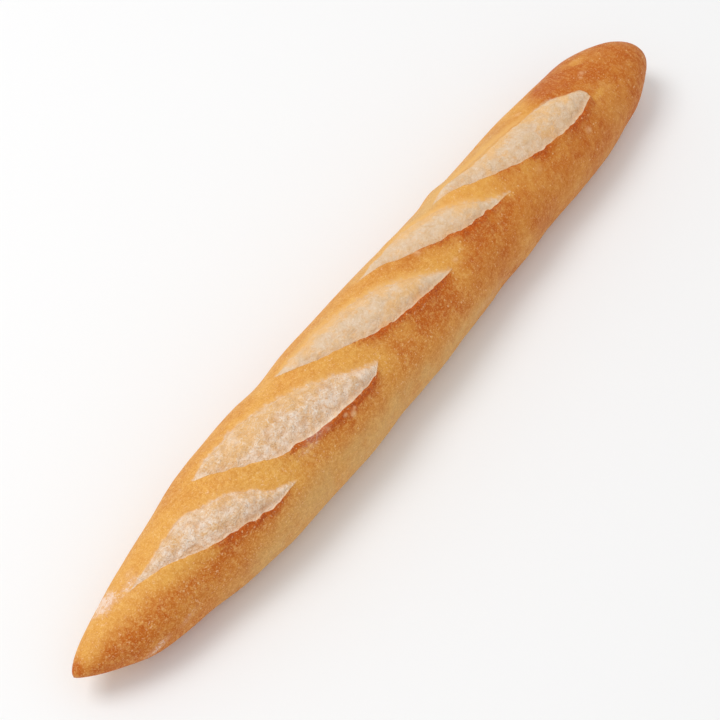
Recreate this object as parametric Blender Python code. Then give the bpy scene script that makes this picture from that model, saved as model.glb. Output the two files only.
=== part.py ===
"""Baguette: one short, stout, hearth-baked stick with five opened scores.

The loaf lies along X with its pointed end at -X and its blunt end at +X, on a narrow flat base at z = 0.
Each score is a leaf-shaped opening: its -Y edge stands up as an ear, its +Y edge runs out softly.
"""

import math

import bmesh
import bpy
import numpy as np

# ---- driving sizes, metres and loaf lengths ---------------------------------
MM = 0.001
LENGTH = 0.500
HALF_WIDTH = 0.0343
HEIGHT_PER_WIDTH = 0.78
BELOW_WAIST = 0.42          # share of the height below the widest line
FLAT_CUT = 1.06             # the underside's curve runs 6% past the flat base that cuts it
NEAR_TAPER = 0.387          # of the length: the pointed end's long taper
NEAR_POWERS = (2.36, 0.672)
FAR_TAPER = 0.256           # of the length: the blunt end's short taper
FAR_POWERS = (3.2, 0.544)
FAR_SLIMMING = 0.895
BOW = 0.0030                # sideways bow of the middle, towards -Y
NEAR_CURL = 0.0037          # the pointed tip's turn towards +Y
FAR_CURL = -0.0055
TIP_LIFT = 0.018            # how high the two tips end
NEAR_LIFT_LENGTH = 0.19
FAR_LIFT_LENGTH = 0.12
EAR_HEIGHT = 2.6            # mm above the crust
EAR_REACH = 7.0             # mm over which the crust rises to the ear
STEP_WIDTH = 0.7            # mm from the ear's edge down to the crumb
CRUMB_SINK = 1.7            # mm below the crust, at the foot of the ear
CRUMB_SWELL = 2.3           # mm that the crumb swells up in the middle

# ---- mesh density ------------------------------------------------------------
ALONG = 300
AROUND = 190
TWIST_PER_MM = -0.0019      # turns: the mesh lines run with the scores
TRIANGLES = 9000

# Scores, in mm: start (along, across), end (along, across), then the soft edge and the ear. Each of
# these is how far it stands off the line between the ends and how slowly it opens at either end.
# "Along" runs from the pointed tip, "across" over the crust from the top line, + towards +Y.
SCORES = (
    ((39, 6), (138, -27), (19.0, 1.95, 2.15), (6.0, 2.05, 1.2)),
    ((105, 16), (214, -18), (14.0, 0.95, 1.5), (18.0, 0.85, 1.0)),
    ((177, 23), (286, -15), (13.8, 1.4, 1.55), (13.9, 0.6, 0.9)),
    ((250, 23), (348, -12), (17.0, 1.45, 2.0), (8.7, 1.2, 1.4)),
    ((318, 20), (434, -11), (13.2, 0.55, 0.3), (13.4, 0.95, 1.0)),
)

# Swells and hollows of the flanks, in mm: along, across, half length, rise.
SWELLS = (
    (30, -44, 14, 1.7), (72, -44, 14, -1.3), (123, -44, 14, 0.9), (186, -44, 16, 1.1),
    (215, -44, 10, -0.9), (252, -44, 18, 0.9), (316, -44, 14, -1.0), (365, -44, 18, -1.3),
    (425, -44, 20, 0.9), (110, 34, 22, 0.9), (174, 34, 16, -2.0), (255, 34, 34, 0.9),
    (331, 34, 8, 1.6), (425, 34, 28, -1.1), (458, 34, 12, 0.5), (466, -34, 14, 1.4),
)
SWELL_HALF_WIDTH = 24.0
SWELL_FADE = 0.012          # they die out before the middle of the underside


def ease(t):
    t = np.clip(t, 0.0, 1.0)
    return t * t * (3.0 - 2.0 * t)


def half_width(s):
    near = 1.0 - (1.0 - np.clip(s / NEAR_TAPER, 0, 1)) ** NEAR_POWERS[0]
    far = 1.0 - (1.0 - np.clip((1 - s) / FAR_TAPER, 0, 1)) ** FAR_POWERS[0]
    slim = 1.0 + (FAR_SLIMMING - 1.0) * ease((s - 0.3) / 0.45)
    return HALF_WIDTH * near ** NEAR_POWERS[1] * far ** FAR_POWERS[1] * slim


def side_shift(s):
    near = NEAR_CURL * np.clip(1 - s / 0.09, 0, 1) ** 2
    far = FAR_CURL * np.clip((s - 0.9) / 0.1, 0, 1) ** 2
    return near + far - BOW * np.sin(math.pi * np.clip(s / 0.9, 0, 1))


def tip_lift(s):
    near = np.clip(1 - s / NEAR_LIFT_LENGTH, 0, 1) ** 2
    far = np.clip(1 - (1 - s) / FAR_LIFT_LENGTH, 0, 1) ** 2
    return TIP_LIFT * (near + far)


def swell(along, across):
    total = np.zeros_like(across)
    for place, side, reach, rise in SWELLS:
        total += rise * np.exp(-((along - place) / reach) ** 2 - ((across - side) / SWELL_HALF_WIDTH) ** 2)
    return total


def leaf(t, curve):
    width, near, far = curve
    t = np.clip(t, 1e-6, 1 - 1e-6)
    peak = near / (near + far)
    return width * (t / peak) ** near * ((1 - t) / (1 - peak)) ** far


def score_relief(along, across):
    """Rise or fall of the skin, in mm, for the five scores."""
    rise = np.zeros_like(across)
    inside_any = np.zeros(across.shape, dtype=bool)
    for start, end, soft, ear in SCORES:
        dx = end[0] - start[0]
        dy = end[1] - start[1]
        size = math.hypot(dx, dy)
        t = ((along - start[0]) * dx + (across - start[1]) * dy) / size ** 2
        off = ((across - start[1]) * dx - (along - start[0]) * dy) / size
        ear_line = -leaf(t, ear)
        soft_line = leaf(t, soft)
        width = np.maximum(soft_line - ear_line, 1e-3)
        strength = np.clip(width / 12.0, 0, 1)
        q = (off - ear_line) / width
        live = (t > 0) & (t < 1)
        crust = live & (off <= ear_line)
        lip = EAR_HEIGHT * strength * np.exp(-(np.maximum(ear_line - off, 0) / EAR_REACH) ** 1.3)
        rise = np.where(crust & ~inside_any, np.maximum(rise, lip), rise)
        inside = live & (off > ear_line) & (q < 1)
        drop = np.clip((off - ear_line) / STEP_WIDTH, 0, 1)
        crumb = -CRUMB_SINK * (1 - ease(q / 0.8)) + CRUMB_SWELL * np.sin(math.pi * np.clip(q, 0, 1)) ** 1.2
        cut = strength * (EAR_HEIGHT * (1 - drop) + crumb * drop)
        rise = np.where(inside, cut, rise)
        inside_any |= inside
    return rise


def section(s):
    """The loaf's outline at station s: across and up positions, outward normals and arc, all in metres."""
    turn = np.linspace(-math.pi, math.pi, 721)
    c = np.cos(turn)
    wide = half_width(s)
    tall = 2 * wide * HEIGHT_PER_WIDTH
    y = wide * np.sin(turn)
    over = (1 - BELOW_WAIST) * tall * c
    under = -BELOW_WAIST * tall * FLAT_CUT * np.abs(c) ** 0.6
    z = np.where(c > 0, over, under)
    arc = np.concatenate([[0], np.cumsum(np.hypot(np.diff(y), np.diff(z)))])
    arc -= arc[360]
    reach_down = np.where(c > 0, (1 - BELOW_WAIST) * tall, BELOW_WAIST * tall)
    ny = np.sin(turn) / wide
    nz = c / reach_down
    norm = np.hypot(ny, nz)
    return y, z, ny / norm, nz / norm, arc


def skin(s, turns):
    """Skin points at station s, for turns measured from the top line round the loaf (0 to 1)."""
    if s <= 0 or s >= 1:
        centre = [LENGTH * (s - 0.5), float(side_shift(s)), float(tip_lift(s))]
        return np.tile(centre, (len(turns), 1))
    y, z, ny, nz, arc = section(s)
    round_way = arc[-1] - arc[0]
    across = ((turns + 0.5) % 1.0 - 0.5) * round_way
    y = np.interp(across, arc, y)
    z = np.interp(across, arc, z)
    ny = np.interp(across, arc, ny)
    nz = np.interp(across, arc, nz)
    along = np.full_like(across, s * LENGTH / MM)
    fade = ease((round_way / 2 - np.abs(across)) / SWELL_FADE)
    rise = (swell(along, across / MM) * fade + score_relief(along, across / MM)) * MM
    waist = tip_lift(s) + BELOW_WAIST * 2 * half_width(s) * HEIGHT_PER_WIDTH
    up = np.maximum(waist + z + nz * rise, 0.0)
    x = np.full_like(up, LENGTH * (s - 0.5))
    return np.stack([x, side_shift(s) + y + ny * rise, up], axis=1)


def make_loaf(collection):
    """A sphere turned so that its poles are the loaf's ends, with each vertex moved on to the skin."""
    bm = bmesh.new()
    bmesh.ops.create_uvsphere(bm, u_segments=AROUND, v_segments=ALONG, radius=1.0)
    bm.verts.ensure_lookup_table()
    sphere = np.array([v.co for v in bm.verts])
    ring = np.rint(np.arccos(np.clip(-sphere[:, 2], -1, 1)) / math.pi * ALONG).astype(int)
    turn = np.arctan2(sphere[:, 1], sphere[:, 0]) / (2 * math.pi)
    for i in range(ALONG + 1):
        members = np.nonzero(ring == i)[0]
        u = i / ALONG
        s = 0.75 * u + 0.25 * (1 - math.cos(math.pi * u)) / 2
        twist = TWIST_PER_MM * s * LENGTH / MM
        points = skin(s, -turn[members] + twist)
        for index, point in zip(members, points):
            bm.verts[int(index)].co = point
    bmesh.ops.recalc_face_normals(bm, faces=bm.faces)
    mesh = bpy.data.meshes.new("baguette")
    bm.to_mesh(mesh)
    bm.free()
    loaf = bpy.data.objects.new("baguette", mesh)
    collection.objects.link(loaf)
    return loaf


def thin_out(loaf):
    """Spend the triangles where the scores and tips need them, and settle the base on z = 0."""
    thin = loaf.modifiers.new("thin out", "DECIMATE")
    thin.decimate_type = "COLLAPSE"
    thin.ratio = TRIANGLES / (2.0 * AROUND * (ALONG - 1))
    thin.use_collapse_triangulate = True
    evaluated = loaf.evaluated_get(bpy.context.evaluated_depsgraph_get())
    mesh = bpy.data.meshes.new_from_object(evaluated)
    loaf.modifiers.clear()
    loaf.data = mesh
    mesh.name = "baguette"
    for vertex in mesh.vertices:
        if vertex.co.z < 0.00005:
            vertex.co.z = 0.0
    xs = [v.co.x for v in mesh.vertices]
    ys = [v.co.y for v in mesh.vertices]
    middle_x = (min(xs) + max(xs)) / 2
    middle_y = (min(ys) + max(ys)) / 2
    for vertex in mesh.vertices:
        vertex.co.x -= middle_x
        vertex.co.y -= middle_y
    mesh.shade_smooth()
    mesh.set_sharp_from_angle(angle=math.radians(40))


def crust_material():
    crust = bpy.data.materials.new("crust")
    crust.use_nodes = True
    shader = crust.node_tree.nodes["Principled BSDF"]
    shader.inputs["Base Color"].default_value = (0.58, 0.27, 0.09, 1)
    shader.inputs["Roughness"].default_value = 0.6
    shader.inputs["Metallic"].default_value = 0.0
    return crust


for old in list(bpy.data.objects):
    bpy.data.objects.remove(old, do_unlink=True)

baguette_collection = bpy.data.collections.new("baguette")
bpy.context.scene.collection.children.link(baguette_collection)

baguette = make_loaf(baguette_collection)
bpy.context.view_layer.update()
thin_out(baguette)
baguette.data.materials.clear()
baguette.data.materials.append(crust_material())
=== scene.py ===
# %% [markdown]
# # Baguette
# The real thing is a hearth-baked stick about half a metre long: a thin golden crust, a flat base where
# it lay on the oven floor, and five slanted scores cut with a blade. In the oven each score opened, the
# crust on one side of it lifted into a thin ear, and the pale crumb inside swelled out.
#
# Such a loaf could be sculpted by hand, but nothing about it could then be measured or changed. Here
# every point of the skin comes from named sizes, the solid's own, on a mesh fine enough for ragged ears
# and torn crumb. The loaf lies along X, its pointed end at -X, on the floor at z = 0.

# %% Start from the frame
import math
from typing import NamedTuple

import bpy
import numpy as np
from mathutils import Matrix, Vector


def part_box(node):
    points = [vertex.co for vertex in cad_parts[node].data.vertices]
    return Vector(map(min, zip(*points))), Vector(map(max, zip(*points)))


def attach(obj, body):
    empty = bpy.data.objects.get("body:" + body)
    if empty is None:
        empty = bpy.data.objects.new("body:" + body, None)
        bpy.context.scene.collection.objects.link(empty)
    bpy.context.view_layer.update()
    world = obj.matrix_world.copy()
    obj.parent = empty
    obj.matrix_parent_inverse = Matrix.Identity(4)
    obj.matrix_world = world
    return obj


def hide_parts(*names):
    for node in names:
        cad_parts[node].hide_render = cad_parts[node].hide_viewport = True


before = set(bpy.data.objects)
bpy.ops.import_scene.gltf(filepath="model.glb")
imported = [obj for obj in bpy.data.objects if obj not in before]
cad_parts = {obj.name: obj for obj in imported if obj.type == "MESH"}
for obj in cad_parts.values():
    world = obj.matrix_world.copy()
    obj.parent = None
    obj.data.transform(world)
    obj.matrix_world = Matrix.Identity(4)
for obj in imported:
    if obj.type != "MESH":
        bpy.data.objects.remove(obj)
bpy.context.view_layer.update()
node_lo, node_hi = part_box("baguette")

# %% [markdown]
# ## The outline of the loaf
# Seen from above, the stick is widest near the middle, draws out into a long point at one end and closes
# bluntly at the other, and it bows a little. A lattice or a hand-drawn curve would do, but two power
# curves, one for each end, give the same outline from a few numbers and stay smooth at any fineness. The
# place along the loaf is s, from 0 at the pointed tip to 1 at the blunt one.

# %% Driving sizes, in metres
MM = 0.001
LENGTH = node_hi[0] - node_lo[0]
HALF_WIDTH = 0.0343
HEIGHT_PER_WIDTH = 0.78
BELOW_WAIST = 0.42                       # share of the height that lies below the widest line
FLAT_CUT = 1.06                          # how far the round underside would reach past the flat base
NEAR_TAPER, NEAR_POWERS = 0.387, (2.36, 0.672)
FAR_TAPER, FAR_POWERS = 0.256, (3.2, 0.544)
FAR_SLIMMING = 0.895
BOW, NEAR_CURL, FAR_CURL = 0.0030, 0.0037, -0.0055
TIP_LIFT, NEAR_LIFT_LENGTH, FAR_LIFT_LENGTH = 0.018, 0.19, 0.12
print("length mm", round(LENGTH / MM, 1), "widest mm", round(2 * HALF_WIDTH / MM, 1))


# %% Half width, sideways bow and lift of the tips
def ease(t):
    """Rises smoothly from 0 to 1 as t does."""
    t = np.clip(t, 0.0, 1.0)
    return t * t * (3.0 - 2.0 * t)


def bell(values, middle, width):
    """1 where the values are at the middle, fading to 0 over about twice the width."""
    return np.exp(-((values - middle) / width) ** 2)


def half_width(s):
    near = 1.0 - (1.0 - np.clip(s / NEAR_TAPER, 0, 1)) ** NEAR_POWERS[0]
    far = 1.0 - (1.0 - np.clip((1 - s) / FAR_TAPER, 0, 1)) ** FAR_POWERS[0]
    slim = 1.0 + (FAR_SLIMMING - 1.0) * ease((s - 0.3) / 0.45)
    return HALF_WIDTH * near ** NEAR_POWERS[1] * far ** FAR_POWERS[1] * slim


def side_shift(s):
    near = NEAR_CURL * np.clip(1 - s / 0.09, 0, 1) ** 2
    far = FAR_CURL * np.clip((s - 0.9) / 0.1, 0, 1) ** 2
    return near + far - BOW * np.sin(math.pi * np.clip(s / 0.9, 0, 1))


def tip_lift(s):
    near = np.clip(1 - s / NEAR_LIFT_LENGTH, 0, 1) ** 2
    far = np.clip(1 - (1 - s) / FAR_LIFT_LENGTH, 0, 1) ** 2
    return TIP_LIFT * (near + far)


print("half width mm at the quarters", [round(float(half_width(s)) / MM, 1) for s in (0.25, 0.5, 0.75)])

# %% [markdown]
# ## A slice across the loaf
# Dough slumps as it proves, so a slice is wider than it is high and has a flat base. It could be drawn as
# a curve and lofted. A short formula bends more easily to each slice's width: half an ellipse above the
# widest line, a fuller curve below it, cut off flat. "Across" is the way over the crust from the top
# line, in mm, + towards +Y. It stays true however the slice swells, so marks are placed by it.

# %% One slice: its points, its outward directions and the way round it
STEPS_ROUND = 1440
turn = np.linspace(-math.pi, math.pi, STEPS_ROUND + 1)
cosine = np.cos(turn)


def section(s):
    wide = half_width(s)
    tall = 2 * wide * HEIGHT_PER_WIDTH
    y = wide * np.sin(turn)
    below = -BELOW_WAIST * tall * FLAT_CUT * np.abs(cosine) ** 0.6
    z = np.where(cosine > 0, (1 - BELOW_WAIST) * tall * cosine, below)
    arc = np.concatenate([[0], np.cumsum(np.hypot(np.diff(y), np.diff(z)))])
    arc -= arc[STEPS_ROUND // 2]
    reach = np.where(cosine > 0, (1 - BELOW_WAIST) * tall, BELOW_WAIST * tall)
    ny, nz = np.sin(turn) / wide, cosine / reach
    norm = np.hypot(ny, nz)
    return y, z, ny / norm, nz / norm, arc


print("way round the middle mm", round(2 * section(0.5)[4][-1] / MM))

# %% [markdown]
# ## Unevenness that repeats
# Nothing on bread is even: edges wander, crust swells, crumb tears. Blender's own displace textures would
# give that, but here the same sort of lumps must also shape the colour masks, so the noise is written
# out. Random numbers sit at the corners of a lattice and are blended smoothly between them. They come
# from a fixed rule and not from a random generator, so the loaf is the same on every run.

# %% Smooth noise in space, from -1 to 1
def lattice(ix, iy, iz, seed):
    h = (ix * 374761393 + iy * 668265263 + iz * 1274126177 + seed * 1442695041) & 0xFFFFFFFF
    h = ((h ^ (h >> 13)) * 1103515245) & 0xFFFFFFFF
    h = ((h ^ (h >> 16)) * 2246822519) & 0xFFFFFFFF
    return ((h ^ (h >> 15)) & 0xFFFF) / 32767.5 - 1.0


def noise(points, size, seed=0):
    """Lumps of about this size, in mm, at points in mm."""
    p = np.asarray(points) / size
    base = np.floor(p).astype(np.int64)
    f = p - base
    f = f * f * f * (f * (f * 6 - 15) + 10)
    total = 0.0
    for dx, dy, dz in np.ndindex(2, 2, 2):
        weight = (f[..., 0] if dx else 1 - f[..., 0]) * (f[..., 1] if dy else 1 - f[..., 1])
        weight = weight * (f[..., 2] if dz else 1 - f[..., 2])
        total = total + weight * lattice(base[..., 0] + dx, base[..., 1] + dy, base[..., 2] + dz, seed)
    return total


some_point = np.array([[3.0, 4.0, 5.0]])
print("noise at a point", round(float(noise(some_point, 10.0)[0]), 3))


# %% Finer lumps on coarse ones
def layered(points, size, octaves, seed=0):
    """Noise with finer lumps on the coarse ones, each half the size and half as strong."""
    total, strength, norm = 0.0, 1.0, 0.0
    for k in range(octaves):
        total = total + strength * noise(points, size / 2 ** k, seed + k)
        norm += strength
        strength *= 0.5
    return total / norm


print("layered noise there", round(float(layered(some_point, 10.0, 3)[0]), 3))

# %% [markdown]
# ## Five scores
# The baker's blade made five slanted cuts that overlap a little. Each opened into a leaf: one edge is the
# ear, where the crust tore and lifted, and the other is soft, where crumb and crust run together. The
# cuts could be carved with booleans, but those leave hard walls. Each is kept instead as a line with a
# leaf curve on either side, so one loop shapes and colours all five while every one of them differs.

# %% What one score is; places and lengths are in mm, along and across the crust
STRAIGHT = ((0, 1), (0, 0))              # an edge that keeps to its leaf


class Score(NamedTuple):
    start: tuple                 # where the blade went in, at the +Y side
    end: tuple                   # where it came out, at the -Y side
    soft: tuple                  # the soft edge's leaf: its width, and how slowly it opens at either end
    ear: tuple                   # the same for the ear's leaf, on the other side of the line
    roughness: float             # how roughly the crumb tore
    blur: float                  # width of the soft edge's change from crumb to crust
    gilding_and_highlight: float               # how strongly the crust beside the soft edge is gilded and carries a painted highlight
    painted_light_under_lip: float                 # how much painted light lifts the crumb in the lip's shade under the ear
    spread: float                # how much of the ear's dark glow and painted shade reaches the crust below it
    darkened_at: tuple              # places along the loaf ...
    darkened: tuple                 # ... and how dark the ear and the painted shade under its lip are there, 1 for dark
    ear_stray: tuple = STRAIGHT  # how the ear strays from its leaf: parts of the way along, and mm
    soft_stray: tuple = STRAIGHT # the same for the soft edge


print("a score has", len(Score._fields), "values")

# %% The five scores, from the pointed end
SCORES = (
    Score(
        start=(39, 6), end=(138, -27), soft=(19.0, 1.95, 2.15), ear=(6.0, 2.05, 1.2),
        roughness=1.0, blur=2.2, gilding_and_highlight=0.35, painted_light_under_lip=0.5, spread=0.1,
        darkened_at=(74, 83, 91, 99, 108, 116, 125, 133, 138),
        darkened=(0, 0.5, 1.2, 1.3, 1.2, 1, 0.8, 0.3, 0),
        soft_stray=((0.15, 0.35, 0.6, 0.75, 0.9), (0, -2.5, -3, -2, 0)),
    ),
    Score(
        start=(105, 16), end=(214, -18), soft=(14.0, 0.95, 1.5), ear=(18.0, 0.85, 1.0),
        roughness=1.0, blur=4.0, gilding_and_highlight=0.5, painted_light_under_lip=0.8, spread=0.35,
        darkened_at=(133, 144, 153, 162, 171, 181, 190, 199, 207, 213),
        darkened=(0, 0.8, 1.1, 1.4, 1.8, 1.7, 1.6, 1.6, 0.8, 0.1),
        ear_stray=((0.76, 0.84, 0.89, 0.95, 1), (0, -1.5, -2.6, -3.2, 0)),
        soft_stray=((0.15, 0.35, 0.6, 0.85, 0.98), (0, -1.5, -1.5, -2, 0)),
    ),
    Score(
        start=(177, 23), end=(286, -15), soft=(13.8, 1.4, 1.55), ear=(13.9, 0.6, 0.9),
        roughness=0.6, blur=4.4, gilding_and_highlight=1.0, painted_light_under_lip=0.4, spread=0.8,
        darkened_at=(203, 216, 225, 234, 243, 253, 262, 271, 281, 286),
        darkened=(0, 0.6, 1.1, 0.9, 1.1, 1.5, 1.6, 1.4, 0.6, 0.1),
        ear_stray=((0.02, 0.08, 0.2, 0.32), (0, -2.3, -2.1, 0)),
        soft_stray=((0.03, 0.15, 0.35, 0.55, 0.75, 0.92), (0, -2, -2.5, -2, -1, 0)),
    ),
    Score(
        start=(250, 23), end=(348, -12), soft=(17.0, 1.45, 2.0), ear=(8.7, 1.2, 1.4),
        roughness=0.5, blur=4.8, gilding_and_highlight=1.0, painted_light_under_lip=0.35, spread=0.6,
        darkened_at=(272, 285, 293, 301, 310, 318, 326, 335, 343, 348),
        darkened=(0, 0.4, 0.8, 0.8, 1.4, 1.3, 0.9, 0.7, 0.2, 0),
        ear_stray=((0.55, 0.66, 0.84, 0.95), (0, -1.2, -1.2, 0)),
    ),
    Score(
        start=(318, 20), end=(434, -11), soft=(13.2, 0.55, 0.3), ear=(13.4, 0.95, 1.0),
        roughness=0.6, blur=3.6, gilding_and_highlight=1.0, painted_light_under_lip=0.4, spread=0.1,
        darkened_at=(346, 359, 369, 379, 389, 399, 408, 418, 428, 434),
        darkened=(0, 0.6, 0.4, 1.3, 0.45, 0.3, 1.4, 1.1, 0.4, 0),
        ear_stray=((0.55, 0.62, 0.9, 1), (0, -1.3, -1.3, 0)),
    ),
)
print("score lengths mm", [round(math.dist(score.start, score.end)) for score in SCORES])


# %% Where a score's edges run
def leaf(t, curve):
    width, near, far = curve
    t = np.clip(t, 1e-6, 1 - 1e-6)
    peak = near / (near + far)
    return width * (t / peak) ** near * ((1 - t) / (1 - peak)) ** far


def edge_lines(score, index, t):
    """How far the ear and the soft edge stand off the blade's line, in mm, at parts t of its length."""
    size = math.dist(score.start, score.end)
    part = np.clip(t, 0, 1)
    places = np.stack([part * size, np.full_like(t, 40.0 * index), np.zeros_like(t)], axis=-1)
    taper = ease(part / 0.15) * ease((1 - part) / 0.15)
    ear_wander = 0.9 * noise(places, 13.0, 11) + 0.6 * noise(places, 4.6, 12)
    ear_wander = ear_wander + 0.28 * noise(places, 1.9, 13)
    soft_wander = 1.1 * noise(places, 11.0, 14) + 0.5 * noise(places, 4.0, 15)
    ear_line = ear_wander * taper - leaf(t, score.ear) + np.interp(t, *score.ear_stray)
    return ear_line, soft_wander * taper + leaf(t, score.soft) + np.interp(t, *score.soft_stray)


print("first soft leaf halfway", round(float(leaf(np.array(0.5), SCORES[0].soft)), 1), "mm")


# %% The ears' edges as paths over the crust
def ear_path(score, index):
    """Places along the loaf and across the crust."""
    t = np.linspace(0, 1, 600)
    ear_line, _ = edge_lines(score, index, t)
    (x0, v0), (x1, v1) = score.start, score.end
    size = math.dist(score.start, score.end)
    path_x = x0 + t * (x1 - x0) - ear_line * (v1 - v0) / size
    path_v = v0 + t * (v1 - v0) + ear_line * (x1 - x0) / size
    return path_x, path_v


ear_paths = [ear_path(score, index) for index, score in enumerate(SCORES)]
print("ears reach across mm", [round(float(path[1].min()), 1) for path in ear_paths])

# %% [markdown]
# ## A grid that follows the ears
# The skin is a grid: rings round the loaf, columns along it. A remeshed or subdivided blob would also
# carry the shape, but its edges would cross the ears anywhere and look chewed. A grid's columns can be
# placed: close together over the top, wider apart below, and on every ring that crosses an ear, four of
# them move on to its fold, so that the lip stays sharp.

# %% Rings, columns and empty arrays for the skin
RINGS = 560
TOP_COLUMNS, TOP_REACH = 122, 36.0       # the close columns, and how far down either side they go, in mm
SIDE_COLUMNS = 56
FOLD = (0.0, 0.35, 0.8, 1.3)             # mm past the ear's edge at which a column is placed
FOLD_STRETCH = 1.06                      # an ear runs slanted, so its fold is longer across the ring

u = np.linspace(0, 1, RINGS + 1)[1:-1]
stations = 0.8 * u + 0.2 * (1 - np.cos(math.pi * u)) / 2
columns = TOP_COLUMNS + SIDE_COLUMNS
side = SIDE_COLUMNS // 2
shape = (len(stations), columns)
along = np.repeat((stations * LENGTH / MM)[:, None], columns, axis=1)
across, half_round = np.zeros((2,) + shape)
point, outward, sideways = np.zeros((3,) + shape + (3,))
print("rings and columns", shape)


# %% Where a ring's columns lie across the crust
def column_places(x, half):
    """Close on top, wider below, and four moved on to the fold of each ear that the ring crosses."""
    fine = min(TOP_REACH, 0.5 * half)
    over = np.linspace(-fine, fine, TOP_COLUMNS + 1)
    down = np.linspace(fine, half, side + 1)[1:]
    v = np.concatenate([over, down, -down[::-1][1:]])
    order = np.argsort(v)
    in_order = v[order]
    for path_x, path_v in ear_paths:
        if path_x[0] < x < path_x[-1]:
            edge = np.interp(x, path_x, path_v)
            nearest = int(np.argmin(np.abs(in_order - edge)))
            for m, level in enumerate(FOLD):
                in_order[nearest + m] = edge + level * FOLD_STRETCH
    v[order] = in_order
    return v


middle_columns = np.sort(column_places(0.5 * LENGTH / MM, section(0.5)[4][-1] / MM))
print("widest gap between columns mm", round(float(np.diff(middle_columns).max()), 2))

# %% Every ring on the smooth loaf
for i, s in enumerate(stations):
    *slice_values, arc = section(s)
    arc = arc / MM
    v = column_places(s * LENGTH / MM, arc[-1])
    across[i] = v
    half_round[i] = arc[-1]
    y, z, ny, nz = (np.interp(v, arc, values) for values in slice_values)
    waist = tip_lift(s) + BELOW_WAIST * 2 * half_width(s) * HEIGHT_PER_WIDTH
    x = np.full(columns, LENGTH * (s - 0.5))
    point[i] = np.stack([x, side_shift(s) + y, waist + z], axis=-1)
    outward[i, :, 1:] = np.stack([ny, nz], axis=-1)
    sideways[i, :, 1:] = np.stack([nz, -ny], axis=-1)
print("smooth loaf height mm", round(float(point[..., 2].max() / MM), 1))

# %% [markdown]
# ## Swells and lumps
# A stick bulges between its scores and pinches beside them, and its skin is never quite flat.
# Proportional editing would do that by hand. Here each bulge is one line of a table, with its place,
# reach and height, the same table as the solid's, and it fades out before the base, which stays flat.

# %% Raise the swells, in mm outward
SWELLS = (                               # along, across, reach along, height
    (30, -44, 14, 1.7), (72, -44, 14, -1.3), (123, -44, 14, 0.9), (186, -44, 16, 1.1),
    (215, -44, 10, -0.9), (252, -44, 18, 0.9), (316, -44, 14, -1.0), (365, -44, 18, -1.3),
    (425, -44, 20, 0.9), (110, 34, 22, 0.9), (174, 34, 16, -2.0), (255, 34, 34, 0.9),
    (331, 34, 8, 1.6), (425, 34, 28, -1.1), (458, 34, 12, 0.5), (466, -34, 14, 1.4),
)
SWELL_HALF_WIDTH, SWELL_FADE = 24.0, 12.0

in_mm = point / MM
rise = 0.35 * layered(in_mm, 24.0, 2, 1) + 0.10 * layered(in_mm, 6.0, 2, 3)
for place, side_at, reach, height in SWELLS:
    bulge = height * np.exp(-((along - place) / reach) ** 2 - ((across - side_at) / SWELL_HALF_WIDTH) ** 2)
    rise += bulge * ease((half_round - np.abs(across)) / SWELL_FADE)
print("swells mm", round(float(rise.min()), 2), "to", round(float(rise.max()), 2))

# %% [markdown]
# ## Opening the scores
# Going across a score from the crust below it: the crust climbs to the ear's lip, folds over and drops to
# the crumb, the crumb sinks under the lip and swells up again, and a shallow crease leads back to the
# crust. A displacement texture can't fold over itself. So each point moves twice: outward, and sideways
# over the opening, both read from short tables by how far past the ear's edge it lies.

# %% How every point of the skin stands to one score
class Standing(NamedTuple):
    run: np.ndarray         # mm along the blade's line
    off: np.ndarray         # mm off the blade's line
    past: np.ndarray        # mm beyond either end of the score
    from_ear: np.ndarray    # mm past the ear's edge, on to the crumb
    from_soft: np.ndarray   # mm short of the soft edge
    part_over: np.ndarray   # the part of the way from the ear to the soft edge
    strength: np.ndarray    # 1 where the score is wide, 0 at its ends
    inside: np.ndarray      # 1 well inside the opening


FULL_WIDTH = 12.0                        # mm: a score this wide has its ear at full height
INSIDE_FROM, INSIDE_OVER = 0.2, 3.0      # mm from the nearer edge, where the crumb starts and is in full


def standing(score, index):
    (x0, v0), (x1, v1) = score.start, score.end
    size = math.dist(score.start, score.end)
    t = ((along - x0) * (x1 - x0) + (across - v0) * (v1 - v0)) / size ** 2
    off = ((across - v0) * (x1 - x0) - (along - x0) * (v1 - v0)) / size
    ear_line, soft_line = edge_lines(score, index, t)
    past = np.maximum(np.maximum(-t, t - 1), 0) * size
    width = np.maximum(soft_line - ear_line, 1e-3)
    from_ear, from_soft = off - ear_line, soft_line - off
    part_over = np.clip(from_ear / width, 0, 1)
    strength = np.clip(width / FULL_WIDTH, 0, 1) * (past == 0)
    inside = ease((np.minimum(from_ear, from_soft) - INSIDE_FROM) / INSIDE_OVER) * (past == 0)
    return Standing(t * size, off, past, from_ear, from_soft, part_over, strength, inside)


by_score = [(score, standing(score, index)) for index, score in enumerate(SCORES)]
print("points inside each score", [int((at.inside > 0.5).sum()) for score, at in by_score])

# %% The profile across an ear, and how the crumb sinks, swells and tears
LIP_AT = (-20, -10, -5, -2, -0.6, 0.0, 0.35, 0.8, 1.3, 3.0)  # mm past the ear's edge
LIP_RISE = (0, 0.3, 1.0, 2.0, 2.55, 2.6, 2.2, 0.4, -1.3, 0)
LIP_LEAN = (0, 0, 0.1, 0.4, 0.85, 1.0, 0.7, -0.2, -0.7, 0)
CRUMB_SINK, CRUMB_SWELL = 1.7, 2.5
TEARS, LUMPS, FOLDS = 1.5, 0.4, 0.55     # mm: rough tears, broad lumps and soft folds


def crumb_height(at):
    sunk = (1 - ease(at.part_over / 0.8)) * ease((at.from_ear - 0.8) / 2.2)
    return CRUMB_SWELL * np.sin(math.pi * at.part_over) ** 1.2 - CRUMB_SINK * sunk


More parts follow.
